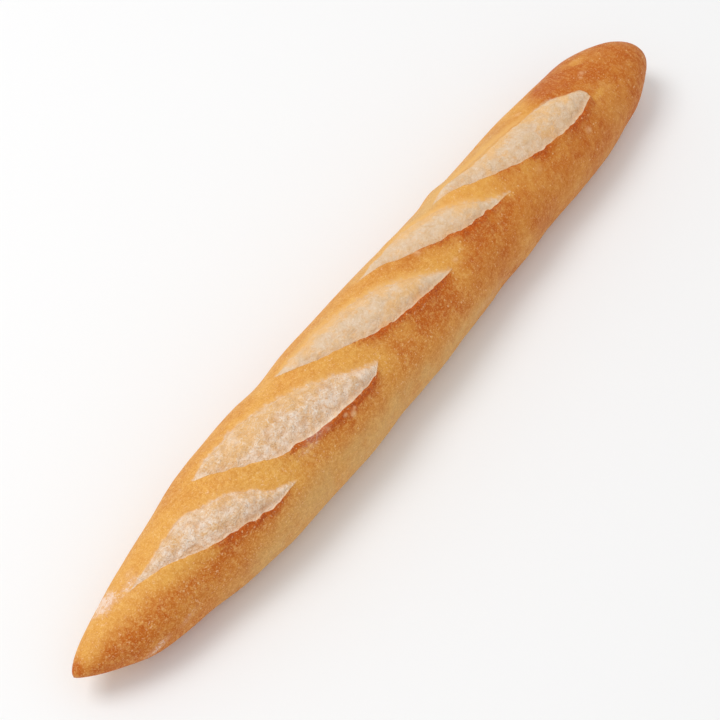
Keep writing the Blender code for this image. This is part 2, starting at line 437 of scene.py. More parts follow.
def tearing(score, index, at, dx, dv):
    """Rough tears, broad lumps and, in the calmer scores, soft folds from edge to edge, in mm."""
    layer = np.full(shape, 9.0 * index)
    torn = np.stack([along * dx + across * dv, (across * dx - along * dv) * 0.55, layer], axis=-1)
    rough = 0.55 * layered(torn, 6.5, 3, 21) + 0.4 * np.abs(noise(torn, 3.0, 25)) - 0.13
    folds = noise(np.stack([at.run, at.off * 0.25, layer], axis=-1), 3.6, 29)
    tears = TEARS * score.roughness * rough + FOLDS * (1 - score.roughness) * folds
    return tears + LUMPS * noise(torn, 11.0, 27)


print("lip height mm", max(LIP_RISE), "lean mm", max(LIP_LEAN))

# %% Cut the five scores
ROLL_HEIGHT, ROLL_PLACE = 0.35, (-4.5, 3.0)      # a low roll of crust: mm from the soft edge, and width
CREASE_DEPTH, CREASE_PLACE = 0.3, (0.0, 1.5)     # the crease on that edge

lean = np.zeros(shape + (3,))
for index, (score, at) in enumerate(by_score):
    size = math.dist(score.start, score.end)
    dx, dv = (score.end[0] - score.start[0]) / size, (score.end[1] - score.start[1]) / size
    crumb_here = (at.from_ear > 0) & (at.from_soft > 0)
    roll = ROLL_HEIGHT * bell(at.from_soft, *ROLL_PLACE)
    crease = CREASE_DEPTH * bell(at.from_soft, *CREASE_PLACE)
    rise += at.strength * np.interp(at.from_ear, LIP_AT, LIP_RISE)
    rise += at.strength * np.where(crumb_here, crumb_height(at), 0.0)
    rise += at.strength * (roll - crease) * (at.from_ear > 3)
    rise += at.strength * at.inside * tearing(score, index, at, dx, dv)
    push = at.strength * np.interp(at.from_ear, LIP_AT, LIP_LEAN)
    lean += push[..., None] * (dx * sideways - dv * np.array([1.0, 0.0, 0.0]))
print("rise mm", round(float(rise.min()), 2), "to", round(float(rise.max()), 2))

# %% [markdown]
# ## From the grid to a mesh
# The grid becomes triangles with one more point at each tip, so the skin is closed all round. Ready-made
# grids and lofts leave open ends or a pinched cap. The UV map lays the skin out flat, along and once
# round, with its seam under the base. Each colour mask is then stored on the points as an attribute,
# which a material reads by name.

# %% Move the points, and centre the loaf across the frame
skin = point + (outward * rise[..., None] + lean) * MM
skin[..., 2] = np.maximum(skin[..., 2], 0.0)
middle = (skin.min(axis=(0, 1)) + skin.max(axis=(0, 1))) / 2
SHIFT_Y = float(middle[1])
skin[..., 1] -= SHIFT_Y
print("moved across mm", round(-SHIFT_Y / MM, 2))

# %% Triangles and their places on the UV map
rings = len(stations)
tips = np.array([
    [-LENGTH / 2, side_shift(0.0) - SHIFT_Y, tip_lift(0.0)],
    [LENGTH / 2, side_shift(1.0) - SHIFT_Y, tip_lift(1.0)],
])
verts = np.concatenate([skin.reshape(-1, 3), tips])
near_tip, far_tip = rings * columns, rings * columns + 1
round_order = np.roll(np.arange(columns), -(TOP_COLUMNS + side))  # from the seam below, up over -Y
ring_u = np.linspace(0, 1, rings + 2)
faces, face_uv = [], []
for k in range(columns):
    a, b = round_order[k], round_order[(k + 1) % columns]
    ka, kb = k / columns, (k + 1) / columns
    middle_v = (ka + kb) / 2
    last = (rings - 1) * columns
    faces += [(near_tip, a, b), (last + a, far_tip, last + b)]
    face_uv += [(0.0, middle_v), (ring_u[1], ka), (ring_u[1], kb)]
    face_uv += [(ring_u[-2], ka), (1.0, middle_v), (ring_u[-2], kb)]
    for i in range(rings - 1):
        v00, v01 = i * columns + a, i * columns + b
        v10, v11 = v00 + columns, v01 + columns
        ua, ub = ring_u[i + 1], ring_u[i + 2]
        faces += [(v00, v10, v01), (v01, v10, v11)]
        face_uv += [(ua, ka), (ub, ka), (ua, kb), (ua, kb), (ub, ka), (ub, kb)]
print("triangles", len(faces))

# %% The loaf as an object
def add_object(name, data):
    made = bpy.data.objects.new(name, data)
    bpy.context.scene.collection.objects.link(made)
    return made


mesh = bpy.data.meshes.new("loaf")
mesh.from_pydata(verts.tolist(), [], faces)
loaf = add_object("loaf", mesh)
uv_layer = mesh.uv_layers.new(name="OFBake")
uv_layer.uv.foreach_set("vector", np.array(face_uv, dtype=np.float32).ravel())
mesh.shade_smooth()


def add_mask(name, values):
    """Keep one number for each point of the skin under this name, for the material to read."""
    layer = mesh.attributes.new(name, "FLOAT", "POINT")
    ends = [values[0].mean(), values[-1].mean()]
    layer.data.foreach_set("value", np.concatenate([values.ravel(), ends]).astype(np.float32))
    print(name, "from", round(float(values.min()), 2), "to", round(float(values.max()), 2))


print("loaf has", len(mesh.polygons), "triangles")

# %% [markdown]
# ## What the oven did along the scores, with painted light and shade
# An ear stood thin in the hottest air, so it fired dark, and a glow fades down the crust below it; that
# dark band is also painted shade, the shadow of the raised lip. Crumb under the lip is lightened with
# painted light, against the shade of the lip. Along the soft edge crumb dried out, and the crust beside it
# took on gold, with a painted highlight where it curls. Colour could be picked by the mesh's slope or its
# sharp edges, but those find other lumps too. The distances that opened the scores place it exactly: one
# rule for each mask, and where scores overlap the strongest counts.

# %% Masks of the crumb
EAR_BLUR, SOFT_EDGE_OPEN = 0.5, 0.44     # mm from crust to crumb at the ear; how open the soft edge is
UNDER_LIP = (1.2, 2.4)                   # mm past the ear's edge: the middle and width of the band of painted light
DRIED_FROM, DRIED_OVER = 0.5, 0.45       # parts of the way over to the soft edge


def opened(score, at):
    return np.minimum(at.from_ear / EAR_BLUR, at.from_soft / score.blur + SOFT_EDGE_OPEN) - at.past


def roughly_torn(score, at):
    return score.roughness * (at.past < 4) * (at.from_ear > -2) * (at.from_soft > -4)


def painted_light_by_lip(score, at):
    # Painted light: crumb just past the ear's edge, in the shade of the lip, is lightened.
    return score.painted_light_under_lip * at.strength * bell(at.from_ear, *UNDER_LIP) * (at.from_ear > -0.5)


def dried(score, at):
    return ease((at.part_over - DRIED_FROM) / DRIED_OVER) * at.inside


def strongest(rule):
    """The most that a rule gives for any of the five scores, at every point."""
    return np.max([rule(score, at) for score, at in by_score], axis=0)


# The third mask is painted light on the crumb in the lip's shade.
opening, torn_grain, painted_light_under_lip, toast = (strongest(rule) for rule in (opened, roughly_torn, painted_light_by_lip, dried))
print("share of the skin that is crumb", round(float((opening > 0.5).mean()), 2))

# %% Masks of the crust beside the scores
LINE_SHARE, LINE_WIDTH = 0.72, 2.7       # the dark line on the lip, scorch and painted shade, in mm below it
HALO_SHARE, HALO_WIDTH = 0.28, 6.5       # the softer band of painted shade round the line
GLOW_AND_SHADE = (7.0, 8.0)                        # mm below the lip: the middle and width of the glow and its painted shade
RIM = (-0.6, 2.2)                        # mm from the soft edge: the middle and width of the gilded rim with its painted highlight
GILT_AND_HIGHLIGHT_TO, GILT_AND_HIGHLIGHT_FADE = 392.0, 14.0     # mm along: gilded and lit up to here, then fading out over this much


def darkening(score, at):
    """How dark the ear and the painted shade below its lip are, on its crust side only."""
    return np.interp(along, score.darkened_at, score.darkened) * (at.past == 0) * (at.from_ear <= 0.3)


def scorch_and_shade_line(score, at):
    # Scorched lip and painted shade: a dark line below the lip and a softer band of shade round it.
    below = np.maximum(-at.from_ear, 0)
    band = LINE_SHARE * np.exp(-(below / LINE_WIDTH) ** 1.5) + HALO_SHARE * np.exp(-below / HALO_WIDTH)
    return np.minimum(darkening(score, at) * band, 1.0)


def glow_and_shade_under_ear(score, at):
    # The glow below the ear is partly painted shade cast by the raised lip.
    below = np.maximum(-at.from_ear, 0)
    return darkening(score, at) * score.spread * bell(below, *GLOW_AND_SHADE)


def gilded_and_lit_rim(score, at):
    # Gold beside the soft edge, with a painted highlight where the crust curls.
    gilding_and_highlight = score.gilding_and_highlight * ease((GILT_AND_HIGHLIGHT_TO - along) / GILT_AND_HIGHLIGHT_FADE + 1)
    return gilding_and_highlight * at.strength * bell(at.from_soft, *RIM) * (at.from_ear > 2)


scorch_and_shade, glow_and_shade_below, gilt_and_highlight_rim = (strongest(rule) for rule in (scorch_and_shade_line, glow_and_shade_under_ear, gilded_and_lit_rim))
print("share of the skin that is fired ear", round(float((scorch_and_shade > 0.5).mean()), 3))

# %% [markdown]
# ## Browning
# Crust browns most where the heat was strongest, here the -Y side and both ends, and stays golden on the
# sheltered +Y flank and on the bridges between the scores. The brown of the -Y side, turned away from the
# lamp, is partly painted shade, and a little more brown on the +Y flank is painted shade where the lamp
# lights it most. It could be painted by hand on a picture. A mask worked out from an edge line, a depth
# along the loaf and a table of soft spots is as fine as the mesh, and one number changes any part of it.
# Near the base, close to the hot floor, the crust is an even, slightly patchy brown all round.

# %% A table of soft spots as a mask
def spots(table):
    """The strongest of a table of soft spots: along, across, reach along, reach across, amount."""
    total = np.zeros(shape)
    for place, side_at, reach, spread, amount in table:
        far = ((along - place) / reach) ** 2 + ((across - side_at) / spread) ** 2
        spot = amount * np.exp(-far ** 1.5)
        total = np.where(np.abs(spot) > np.abs(total), spot, total)
    return total


far_flank = ease((across - 34) / 18.0)
near_base = ease((np.abs(across) / half_round - 0.74) / 0.14)
print("far flank", round(float(far_flank.mean()), 2), "near the base", round(float(near_base.mean()), 2))

# %% Where the crust browned, with painted shade on its sides: its edge, its depth and the spots
BROWN_AND_SHADE_EDGE = (                           # along, and how far across the crust the brown side, partly painted shade, reaches there
    (0, 20, 45, 70, 120, 200, 260, 320, 380, 395, 410, 425, 455, 500),
    (-2, -3, -6, -12, -20, -18, -15, -12, -9, -6, 12, 32, 60, 120),
)
BROWN_AND_SHADE_DEPTH = (                          # along, and how brown the brown side, partly painted shade, is there
    (0, 20, 60, 110, 150, 210, 260, 330, 430, 465, 500),
    (0.9, 0.95, 0.78, 0.5, 0.38, 0.48, 0.58, 0.7, 0.72, 0.76, 0.86),
)
BROWN_SPOTS = (
    (136, -23, 11, 8, -0.4), (216, -20, 9, 7, -0.4), (291, -13, 7, 5, -0.25), (58, -7, 7, 6, -0.25),
    (277, 5, 15, 6, 0.5), (355, -3, 12, 5, 0.4), (448, -2, 9, 5, 0.35), (432, 10, 20, 11, 0.5),
    (457, 12, 7, 4, -0.45), (440, -13, 8, 2.5, -0.5), (92, -21, 16, 5, 0.1), (256, -20, 9, 6, 0.4),
    (306, -9, 8, 6, 0.15), (404, 15, 24, 7, 0.35), (78, -20, 12, 5, 0.15), (380, 20, 10, 7, 0.4),
    (345, 6, 9, 5, 0.2), (70, -9, 9, 5, -0.3), (82, -13.5, 9, 5, -0.4), (155, -27, 18, 7, -0.15),
    (238, -17, 9, 6, -0.22), (283, -21, 8, 6, -0.25), (255, 13, 16, 8, 0.3), (180, 13, 14, 10, 0.15),
    (113, 6, 12, 9, 0.15), (392, -15, 34, 5, -0.16), (440, -20, 16, 9, -0.15),
)
print("soft spots", len(BROWN_SPOTS))

# %% How brown the crust is, painted shade included
EDGE_BLEND, FLANK_BLEND, END_BLEND = 14.0, 20.0, 16.0  # mm over which brown crust turns golden
FLANK_WANDER = 45.0                      # mm that the edge wanders on the sheltered flank

edge_at = np.interp(along, *BROWN_AND_SHADE_EDGE) + far_flank * FLANK_WANDER * layered(in_mm, 34.0, 3, 53)
blend = EDGE_BLEND + FLANK_BLEND * far_flank + END_BLEND * ease((along - 385) / 30)
brown_and_shade = np.interp(along, *BROWN_AND_SHADE_DEPTH) * ease((edge_at - across) / blend + 0.5)
# Painted shade: a little more brown on the +Y flank, where the lamp lights most; the glow below the ears is
# partly painted shade too.
brown_and_shade += 0.12 * ease((across - 14) / 12.0) + 0.34 * glow_and_shade_below
brown_and_shade += 0.16 * layered(in_mm, 22.0, 2, 41) + spots(BROWN_SPOTS)
brown_and_shade = np.clip(np.maximum(brown_and_shade, 0.95 * ease((11 - along) / 9.0)), 0, 1.1)
brown_and_shade = np.maximum(brown_and_shade, far_flank * (0.34 + 0.9 * layered(in_mm, 40.0, 3, 45)))
brown_and_shade = brown_and_shade * (1 - near_base) + near_base * (0.45 + 0.3 * layered(in_mm, 26.0, 3, 47))
print("mean browning", round(float(brown_and_shade.mean()), 2))

# %% [markdown]
# ## Khaki, pale and floured crust
# Low on its sides a loaf is a dry khaki, where steam kept it from browning. Above the scores the crust is
# stretched thin and pale. Flour from the proving cloth stays in hazy patches, and a few blisters stand
# out near the ears. One painted picture could hold all of it, but with a mask for each finish, made like
# the browning, the material can give each its own grain.

# %% Where the crust is khaki, pale, floured or blistered
KHAKI_FROM = ((60, 110, 150, 200, 250), (30, 27, 26, 30, 33))    # along, and how far down -Y it starts
PALE_SPOTS = ((320, 24, 38, 9, 0.9), (365, 20, 24, 7, 0.6), (272, 27, 24, 6, 0.6), (205, 23, 24, 3, 0.5))
FLOUR_SPOTS = (
    (34, 14, 9, 9, 0.85), (46, 7, 9, 4, 0.55), (50, 12, 6, 5, 0.4), (35, -27, 9, 3, 0.6),
    (55, -29, 9, 3, 0.4), (492, 6, 9, 10, 0.3), (300, -48, 30, 4, 0.35), (17, 5, 4, 3, 0.3),
    (158, -19.5, 15, 3.4, 0.48),
)
BLISTER_SPOTS = (
    (182, -25.8, 1.7, 1.3, 1.0), (184.4, -24.4, 0.9, 0.8, 0.9), (178, -23.4, 1.2, 0.8, 0.8),
    (166, -21.8, 1.0, 0.7, 0.6), (415, -22.5, 2.2, 2.0, 0.6), (371, -15.5, 3.0, 2.2, 0.2),
    (280, 3.5, 2.2, 1.6, 0.6), (447, 3, 2.4, 1.4, 0.6), (443, 1.5, 1.4, 1.2, 0.5), (399, 17, 2.0, 1.4, 0.6),
    (291, -13, 1.8, 1.3, 0.6),
)
print("flour", len(FLOUR_SPOTS), "blisters", len(BLISTER_SPOTS))

# %% Khaki, pale, flour, blister and grain masks
GRAIN_STRENGTH = ((0, 60, 120, 260, 340, 500), (0.75, 0.8, 0.9, 0.75, 0.5, 0.45))    # along, and strength

khaki = ease((-across - np.interp(along, *KHAKI_FROM)) / 14.0)
khaki *= ease((along - 55) / 50) * (1 - ease((along - 245) / 90))
khaki += 0.8 * far_flank * np.clip(layered(in_mm, 48.0, 2, 51) + 0.15, 0, 1)
khaki += 0.3 * ease((-across - 36) / 10.0) * ease((along - 240) / 60) * (1 - ease((along - 440) / 30))
khaki = np.clip(khaki + 0.35 * layered(in_mm, 18.0, 2, 43) * khaki, 0, 1)
khaki = khaki * (1 - near_base) + 0.4 * near_base
pale = np.clip(spots(PALE_SPOTS), 0, 1)
flour = np.clip(spots(FLOUR_SPOTS) + near_base * (0.2 + 0.5 * layered(in_mm, 14.0, 3, 49)), 0, 1)
blister = np.clip(spots(BLISTER_SPOTS), 0, 1)
grain_strength = np.interp(along, *GRAIN_STRENGTH) * (1 - 0.25 * khaki)
print("mean khaki", round(float(khaki.mean()), 2), "flour", round(float(flour.mean()), 3))

# %% [markdown]
# ## Honeyed crumb
# Crumb near a soft edge had the longest time in the heat and turned to honey, and in places crust closed
# over it again. Following the distance to the edge alone would colour every score alike, so a table of
# spots adds what differs: CLOSED_SPOTS takes crumb away, HONEY_SPOTS toasts it.

# %% Closed and toasted crumb, and all masks on to the mesh
CLOSED_SPOTS = (
    (366, 19.5, 26, 6, 3.0), (346, 27, 20, 5, 2.0), (283, 28, 26, 4, 2.0), (431, 4, 8, 5, 3.2),
    (394, 14.5, 14, 3.5, 2.5),
)
HONEY_SPOTS = (
    (216, 18, 26, 6, 1.0), (138, 9, 26, 8, 1.1), (172, 2, 16, 6, 1.0), (112, -9, 12, 6, 0.3),
    (60, 6, 8, 3, 0.2), (262, -4, 14, 6, 0.5), (300, 18, 18, 5, 1.0), (325, 4, 12, 4, 0.8),
    (370, 13, 22, 5, 0.7), (420, 1, 8, 5, 0.3),
)

opening -= spots(CLOSED_SPOTS)
toast = np.clip(0.6 * toast + spots(HONEY_SPOTS), 0, 1.2)
# Several masks carry painted light: the ear band painted shade below the lip, the rim a painted highlight,
# the band under the lip painted light on the crumb, and the browning painted shade on the sides.
MASKS = {
    "opening": np.clip(opening, -3, 3), "ear": scorch_and_shade, "rim_and_highlight": gilt_and_highlight_rim, "toast": toast, "brown_and_shade": brown_and_shade,
    "khaki": khaki, "flour": flour, "pale": pale, "blister": blister, "grain": grain_strength,
    "torn": torn_grain, "painted_light_under_lip": painted_light_under_lip,
}
for name, values in MASKS.items():
    add_mask(name, values)

# %% [markdown]
# ## Node helpers
# The finishes are made of shader nodes. A node tree could be clicked together by hand; written out, the
# same tree is read from top to bottom. A few short methods make one node each and return its output, so
# that a line of code reads as what it does: mix this much of that colour in.

# %% A colour as it looks in neutral light (sRGB, 0 to 255), in the linear numbers that nodes use
def colour(r, g, b):
    def linear(c):
        c /= 255.0
        return c / 12.92 if c <= 0.04045 else ((c + 0.055) / 1.055) ** 2.4
    return (linear(r), linear(g), linear(b), 1.0)


print("golden crust", [round(v, 3) for v in colour(227, 163, 74)])


# %% Making and linking nodes
class Tree:
    """Short names for making and linking nodes."""

    def __init__(self, tree):
        self.tree = tree

    def put(self, socket, value):
        """Link an output to a socket, or set the socket's own value."""
        if isinstance(value, bpy.types.NodeSocket):
            self.tree.links.new(value, socket)
        else:
            socket.default_value = value

    def node(self, kind, inputs=None, **settings):
        """A new node with these settings, and with these inputs, by name or number."""
        made = self.tree.nodes.new(kind)
        for key, value in settings.items():
            setattr(made, key, value)
        for key, value in (inputs or {}).items():
            self.put(made.inputs[key], value)
        return made

    def math(self, operation, a, b=0.0, clamp=False):
        return self.node("ShaderNodeMath", {0: a, 1: b}, operation=operation, use_clamp=clamp).outputs[0]

    def plus(self, a, b):
        return self.math("ADD", a, b)

    def times(self, a, b):
        return self.math("MULTIPLY", a, b)

    def about(self, value, middle, strength):
        """How far a value is above or below its middle, times a strength."""
        return self.times(self.math("SUBTRACT", value, middle), strength)

    def mix(self, factor, a, b):
        return self.node("ShaderNodeMix", {"Factor": factor, 6: a, 7: b}, data_type="RGBA").outputs[2]

    def smooth(self, value, low, high, out_low=0.0, out_high=1.0):
        """Goes smoothly from one number to another as a value goes from low to high."""
        inputs = {"Value": value, "From Min": low, "From Max": high, "To Min": out_low, "To Max": out_high}
        return self.node("ShaderNodeMapRange", inputs, interpolation_type="SMOOTHSTEP").outputs[0]

    def noise(self, vector, size, detail=2.0, rough=0.5, distortion=0.0, output=0):
        """Lumps of this size in mm; detail and rough add finer ones, and distortion pulls them about."""
        inputs = {"Vector": vector, "Scale": 1.0 / size, "Detail": detail, "Roughness": rough}
        return self.node("ShaderNodeTexNoise", {**inputs, "Distortion": distortion}).outputs[output]

    def mask(self, name):
        """One of the numbers kept on the points of the skin."""
        made = self.node("ShaderNodeAttribute", attribute_name=name, attribute_type="GEOMETRY")
        return made.outputs["Fac"]


print("helpers", len([name for name in vars(Tree) if not name.startswith("__")]))


# %% A shader group with named sockets
FLOAT, COLOUR, VECTOR = "NodeSocketFloat", "NodeSocketColor", "NodeSocketVector"


def group(name, masks, outputs):
    """A new group that is given a place and some masks: the group, its tree, its inputs and outputs."""
    made = bpy.data.node_groups.new(name, "ShaderNodeTree")
    made.interface.new_socket("Vector", in_out="INPUT", socket_type=VECTOR)
    for label in masks:
        made.interface.new_socket(label, in_out="INPUT", socket_type=FLOAT)
    for label, kind in outputs.items():
        made.interface.new_socket(label, in_out="OUTPUT", socket_type=kind)
    tree = Tree(made)
    return made, tree, tree.node("NodeGroupInput").outputs, tree.node("NodeGroupOutput").inputs


print("socket kinds", FLOAT, COLOUR, VECTOR)

# %% [markdown]
# ## Crust: golden to chestnut
# A thin crust isn't one brown. Sugars brown in patches of all sizes, from a hand's breadth to a pinhead.
# One noise gives one size and looks printed, so a broad and a medium one shake the browning mask, partly
# painted shade, before it picks a colour between golden and chestnut. Khaki and pale crust are laid over
# by their masks. Noise is read in the object's own space, so nothing stretches or shows a seam.

# %% The crust group, and its browning
CRUST_MASKS = ("Brown_and_shade", "Khaki", "Ear", "Rim_and_highlight", "Flour", "Pale", "Blister", "Grain")
CRUST_GIVES = {"Color": COLOUR, "Height": FLOAT, "Roughness": FLOAT}
crust_group, t, given, out = group("crust skin", CRUST_MASKS, CRUST_GIVES)
GOLDEN, CHESTNUT, DEEP_BROWN = colour(227, 163, 74), colour(194, 100, 16), colour(182, 84, 16)
KHAKI, STRETCHED_PALE = colour(212, 163, 96), colour(220, 176, 114)

where = given["Vector"]
broad = t.noise(where, 16.0, 3.0, 0.6)
mottle = t.noise(where, 5.0, 4.0, 0.6)
# The browning mask is crust browning, with painted shade on the -Y side and the +Y flank.
browning_and_shade = t.plus(given["Brown_and_shade"], t.about(broad, 0.47, 0.85))
browning_and_shade = t.plus(browning_and_shade, t.about(mottle, 0.47, 0.75))
# The ear band, scorch and painted shade of the lip, also browns the crust.
browning_and_shade = t.math("ADD", browning_and_shade, t.times(given["Ear"], 0.75), clamp=True)
tone = t.mix(browning_and_shade, GOLDEN, CHESTNUT)
tan = t.times(given["Khaki"], t.smooth(t.noise(where, 13.0, 3.0, 0.6), 0.3, 0.6, 0.6, 1.05))
tone = t.mix(t.times(tan, 0.85), tone, KHAKI)
tone = t.mix(t.times(given["Pale"], 0.9), tone, STRETCHED_PALE)
patch = t.smooth(t.times(browning_and_shade, t.noise(where, 7.0, 3.0, 0.6)), 0.34, 0.62)
tone = t.mix(t.times(patch, 0.4), tone, DEEP_BROWN)
print(len(crust_group.nodes), "crust nodes")

# %% [markdown]
# ## Crust: streaks and speckle
# Close to, crust is covered in light stretch marks that run round the loaf and in a fine light and dark
# speckle of burst bubbles; the light specks are partly painted glints on those bubbles. A picture of grain
# would repeat itself along the loaf. Two fine noises are enough: the high part of each lightens the crust
# and the low part darkens it, by how grainy that stretch of the loaf is.

# %% Streaks across the loaf, and two sizes of speckle
STRETCH_MARK = colour(246, 196, 118)


def vector_math(tree, operation, a, b):
    return tree.node("ShaderNodeVectorMath", {0: a, 1: b}, operation=operation).outputs[0]


streaks = t.noise(vector_math(t, "MULTIPLY", where, (1.0, 0.35, 0.35)), 3.0, 3.0, 0.55)
streaks = t.times(t.smooth(streaks, 0.48, 0.74), t.smooth(t.noise(where, 14.0, 2.0), 0.42, 0.6, 0.08, 0.28))
tone = t.mix(streaks, tone, STRETCH_MARK)
fine = t.noise(where, 1.8, 3.0, 0.6)
grain = t.noise(where, 0.7, 1.0)
SPECKLE = (                              # a noise, where it starts and is full, how much, and the colour; the light specks are partly painted glints
    (fine, 0.45, 0.75, 0.45, colour(248, 198, 114)), (fine, 0.47, 0.27, 0.28, colour(168, 86, 20)),
    (grain, 0.5, 0.8, 0.5, colour(252, 208, 138)), (grain, 0.5, 0.22, 0.25, colour(160, 78, 18)),
)
for speck, low, high, strength, speck_colour in SPECKLE:
    tone = t.mix(t.times(given["Grain"], t.smooth(speck, low, high, 0.0, strength)), tone, speck_colour)
print(len(crust_group.nodes), "crust nodes")

# %% [markdown]
# ## Crust: scorched ears and gilded rims, with painted shade and highlight
# The lip of an ear is thin and stands up into the heat, so it scorches, unevenly and with lighter flecks;
# the dark band below the lip is also painted shade, the shadow that the raised lip casts. The crust along
# the soft edge only takes on a light gold, with a painted highlight where it curls. A plain dark line along
# the ear would look drawn on: here a rough noise moves the line's edge about and decides how dark each bit
# of it is.

# %% Scorched ears and gilded rims, with painted shade below the lips and a painted highlight on the rims
# The seared colours paint the scorched lip and the painted shade just below it.
SEARED_AND_SHADED, BURNT_AND_SHADED, SEARED_FLECK = colour(196, 88, 8), colour(168, 68, 14), colour(228, 140, 62)
# Gold for the soft edge's rim, which also stands for a painted highlight on the curl.
GILDED_AND_LIT = colour(236, 184, 110)

scorch = t.noise(where, 1.6, 4.0, 0.75)
crest = t.smooth(t.plus(given["Ear"], t.about(scorch, 0.5, 2.2)), 0.2, 0.95)
seared_and_shaded = t.mix(t.smooth(t.noise(where, 2.6, 3.0, 0.7), 0.4, 0.6), SEARED_AND_SHADED, BURNT_AND_SHADED)
seared_and_shaded = t.mix(t.times(t.smooth(grain, 0.5, 0.72), 0.5), seared_and_shaded, SEARED_FLECK)
# Laid on by the ear mask: scorch on the lip and painted shade below it.
tone = t.mix(t.times(crest, 0.85), tone, seared_and_shaded)
# The rim: light gold and a painted highlight.
tone = t.mix(t.times(given["Rim_and_highlight"], 0.7), tone, GILDED_AND_LIT)
print(len(crust_group.nodes), "crust nodes")

# %% [markdown]
# ## Crust: pin blisters, flecks and flour, with painted glints
# Steam raises pinhead blisters that stay pale, a few larger ones sit by the ears, and dry flour breaks up
# into specks at the edge of each patch. The pale pins and flecks are partly painted glints on tiny
# bubbles. Blisters are round, which noise never is, so they come from Voronoi cells whose random colour
# sets how large each one is. Flour is its mask roughened by a very rough noise, with a thin haze under it.

# %% Blisters and flecks, with painted glints
PIN_BLISTER_AND_GLINT, FLECK_AND_GLINT, BIG_BLISTER = colour(250, 212, 156), colour(250, 206, 160), colour(242, 192, 144)


def cells(tree, vector, size, feature="F1"):
    """Round cells of this size in mm."""
    inputs = {"Vector": vector, "Scale": 1.0 / size}
    return tree.node("ShaderNodeTexVoronoi", inputs, feature=feature).outputs


pin = cells(t, where, 2.6)
pin_size = t.smooth(pin["Color"], 0.3, 1.0, 0.05, 0.24)
pins_and_glints = t.smooth(t.math("SUBTRACT", pin_size, pin["Distance"]), -0.05, 0.08)
pins_and_glints = t.times(pins_and_glints, t.smooth(t.noise(where, 9.0, 2.0), 0.35, 0.6))
# Pale pin blisters, partly painted glints on them.
tone = t.mix(t.times(pins_and_glints, 0.5), tone, PIN_BLISTER_AND_GLINT)
flecks_and_glints = t.smooth(t.noise(where, 1.3, 2.0, 0.6), 0.6, 0.72)
flecks_and_glints = t.times(flecks_and_glints, t.smooth(t.noise(where, 12.0, 2.0), 0.4, 0.62, 0.2, 0.75))
# Light flecks, partly painted glints.
tone = t.mix(t.times(flecks_and_glints, given["Grain"]), tone, FLECK_AND_GLINT)
tone = t.mix(t.times(given["Blister"], t.smooth(fine, 0.25, 0.6, 0.3, 0.8)), tone, BIG_BLISTER)
print(len(crust_group.nodes), "crust nodes")

# %% Flour
FLOUR = colour(242, 218, 202)

powder = t.plus(given["Flour"], t.about(t.noise(where, 2.4, 5.0, 0.85, 0.8), 0.5, 2.6))
powder = t.times(t.smooth(powder, 0.4, 0.95), t.smooth(given["Flour"], 0.02, 0.2))
haze = t.times(t.smooth(given["Flour"], 0.1, 0.8, 0.0, 0.32), t.smooth(mottle, 0.35, 0.6, 0.2, 1.0))
powder = t.math("MAXIMUM", powder, haze)
tone = t.mix(t.times(powder, 0.85), tone, FLOUR)
t.put(out["Color"], tone)
print(len(crust_group.nodes), "crust nodes")

# %% [markdown]
# ## Crust: relief and sheen
# Crust has wrinkles and bumps well under a millimetre high, and a faint sheen where it is bare of flour.
# Relief this small isn't worth points in the mesh: a height from the same noises tilts the light instead,
# so that light specks also stand out.

# %% Height and roughness of the crust
height = t.plus(t.about(t.noise(where, 2.6, 4.0, 0.6), 0.5, 0.25), t.times(pins_and_glints, 0.1))
height = t.plus(height, t.times(given["Blister"], 0.3))
height = t.plus(height, t.times(t.times(t.math("SUBTRACT", fine, 0.5), given["Grain"]), 0.3))
t.put(out["Height"], height)
t.put(out["Roughness"], t.plus(t.smooth(mottle, 0.3, 0.7, 0.5, 0.64), t.times(powder, 0.25)))
print("crust nodes", len(crust_group.nodes))

# %% [markdown]
# ## Crumb: cream to honey
# Torn crumb is cream where it opened last and honey where it dried. In the first two scores it tore
# roughly, in the others it stretched into a smoother, duller skin. Two materials would need a border
# between faces, which would show. One group with a "Torn" input goes from one sort to the other, as the
# skin itself does.

# %% The crumb group, and its tones
CRUMB_MASKS = ("Toast", "Torn", "Painted_light_under_lip")
crumb_group, t, given, out = group("torn crumb", CRUMB_MASKS, {"Color": COLOUR, "Height": FLOAT})
SMOOTH_CRUMB = (colour(222, 189, 150), colour(228, 202, 173))
TORN_CRUMB = (colour(236, 200, 162), colour(246, 222, 200))
HONEY, TOASTED = colour(236, 184, 118), colour(232, 172, 104)

where = given["Vector"]
lumps = t.noise(where, 6.0, 3.0, 0.6, 0.6)
smooth_tone = t.mix(t.smooth(lumps, 0.35, 0.65), *SMOOTH_CRUMB)
torn_tone = t.mix(t.smooth(lumps, 0.35, 0.65), *TORN_CRUMB)
tone = t.mix(t.smooth(given["Torn"], 0.6, 1.0), smooth_tone, torn_tone)
honey = t.plus(t.noise(where, 9.0, 3.0, 0.6), t.times(given["Toast"], 0.17))
tone = t.mix(t.smooth(honey, 0.49, 0.7, 0.0, 0.65), tone, HONEY)
toasted = t.smooth(t.noise(where, 3.0, 3.0, 0.65), 0.56, 0.72)
tone = t.mix(t.times(toasted, 0.4), tone, TOASTED)
print(len(crumb_group.nodes), "crumb nodes")

# %% [markdown]
# ## Crumb: strands, pits and creases
# Dough tears in strands with pits between them, and folds leave fine creases. Strands and grain are
# noises with both their ends coloured, as on the crust: the end that lies low in the relief is darker,
# painted shade in the hollows, and the end that stands high is lighter, a painted highlight on the ridges.
# Pits and creases are darkened too, as painted shade. Pits are smooth Voronoi cells read through a swirled
# vector: plain ones look like a honeycomb. A crease is where a noise crosses its middle, which draws thin
# wandering lines. "uneven" lets all of it fade where the crumb is smooth.

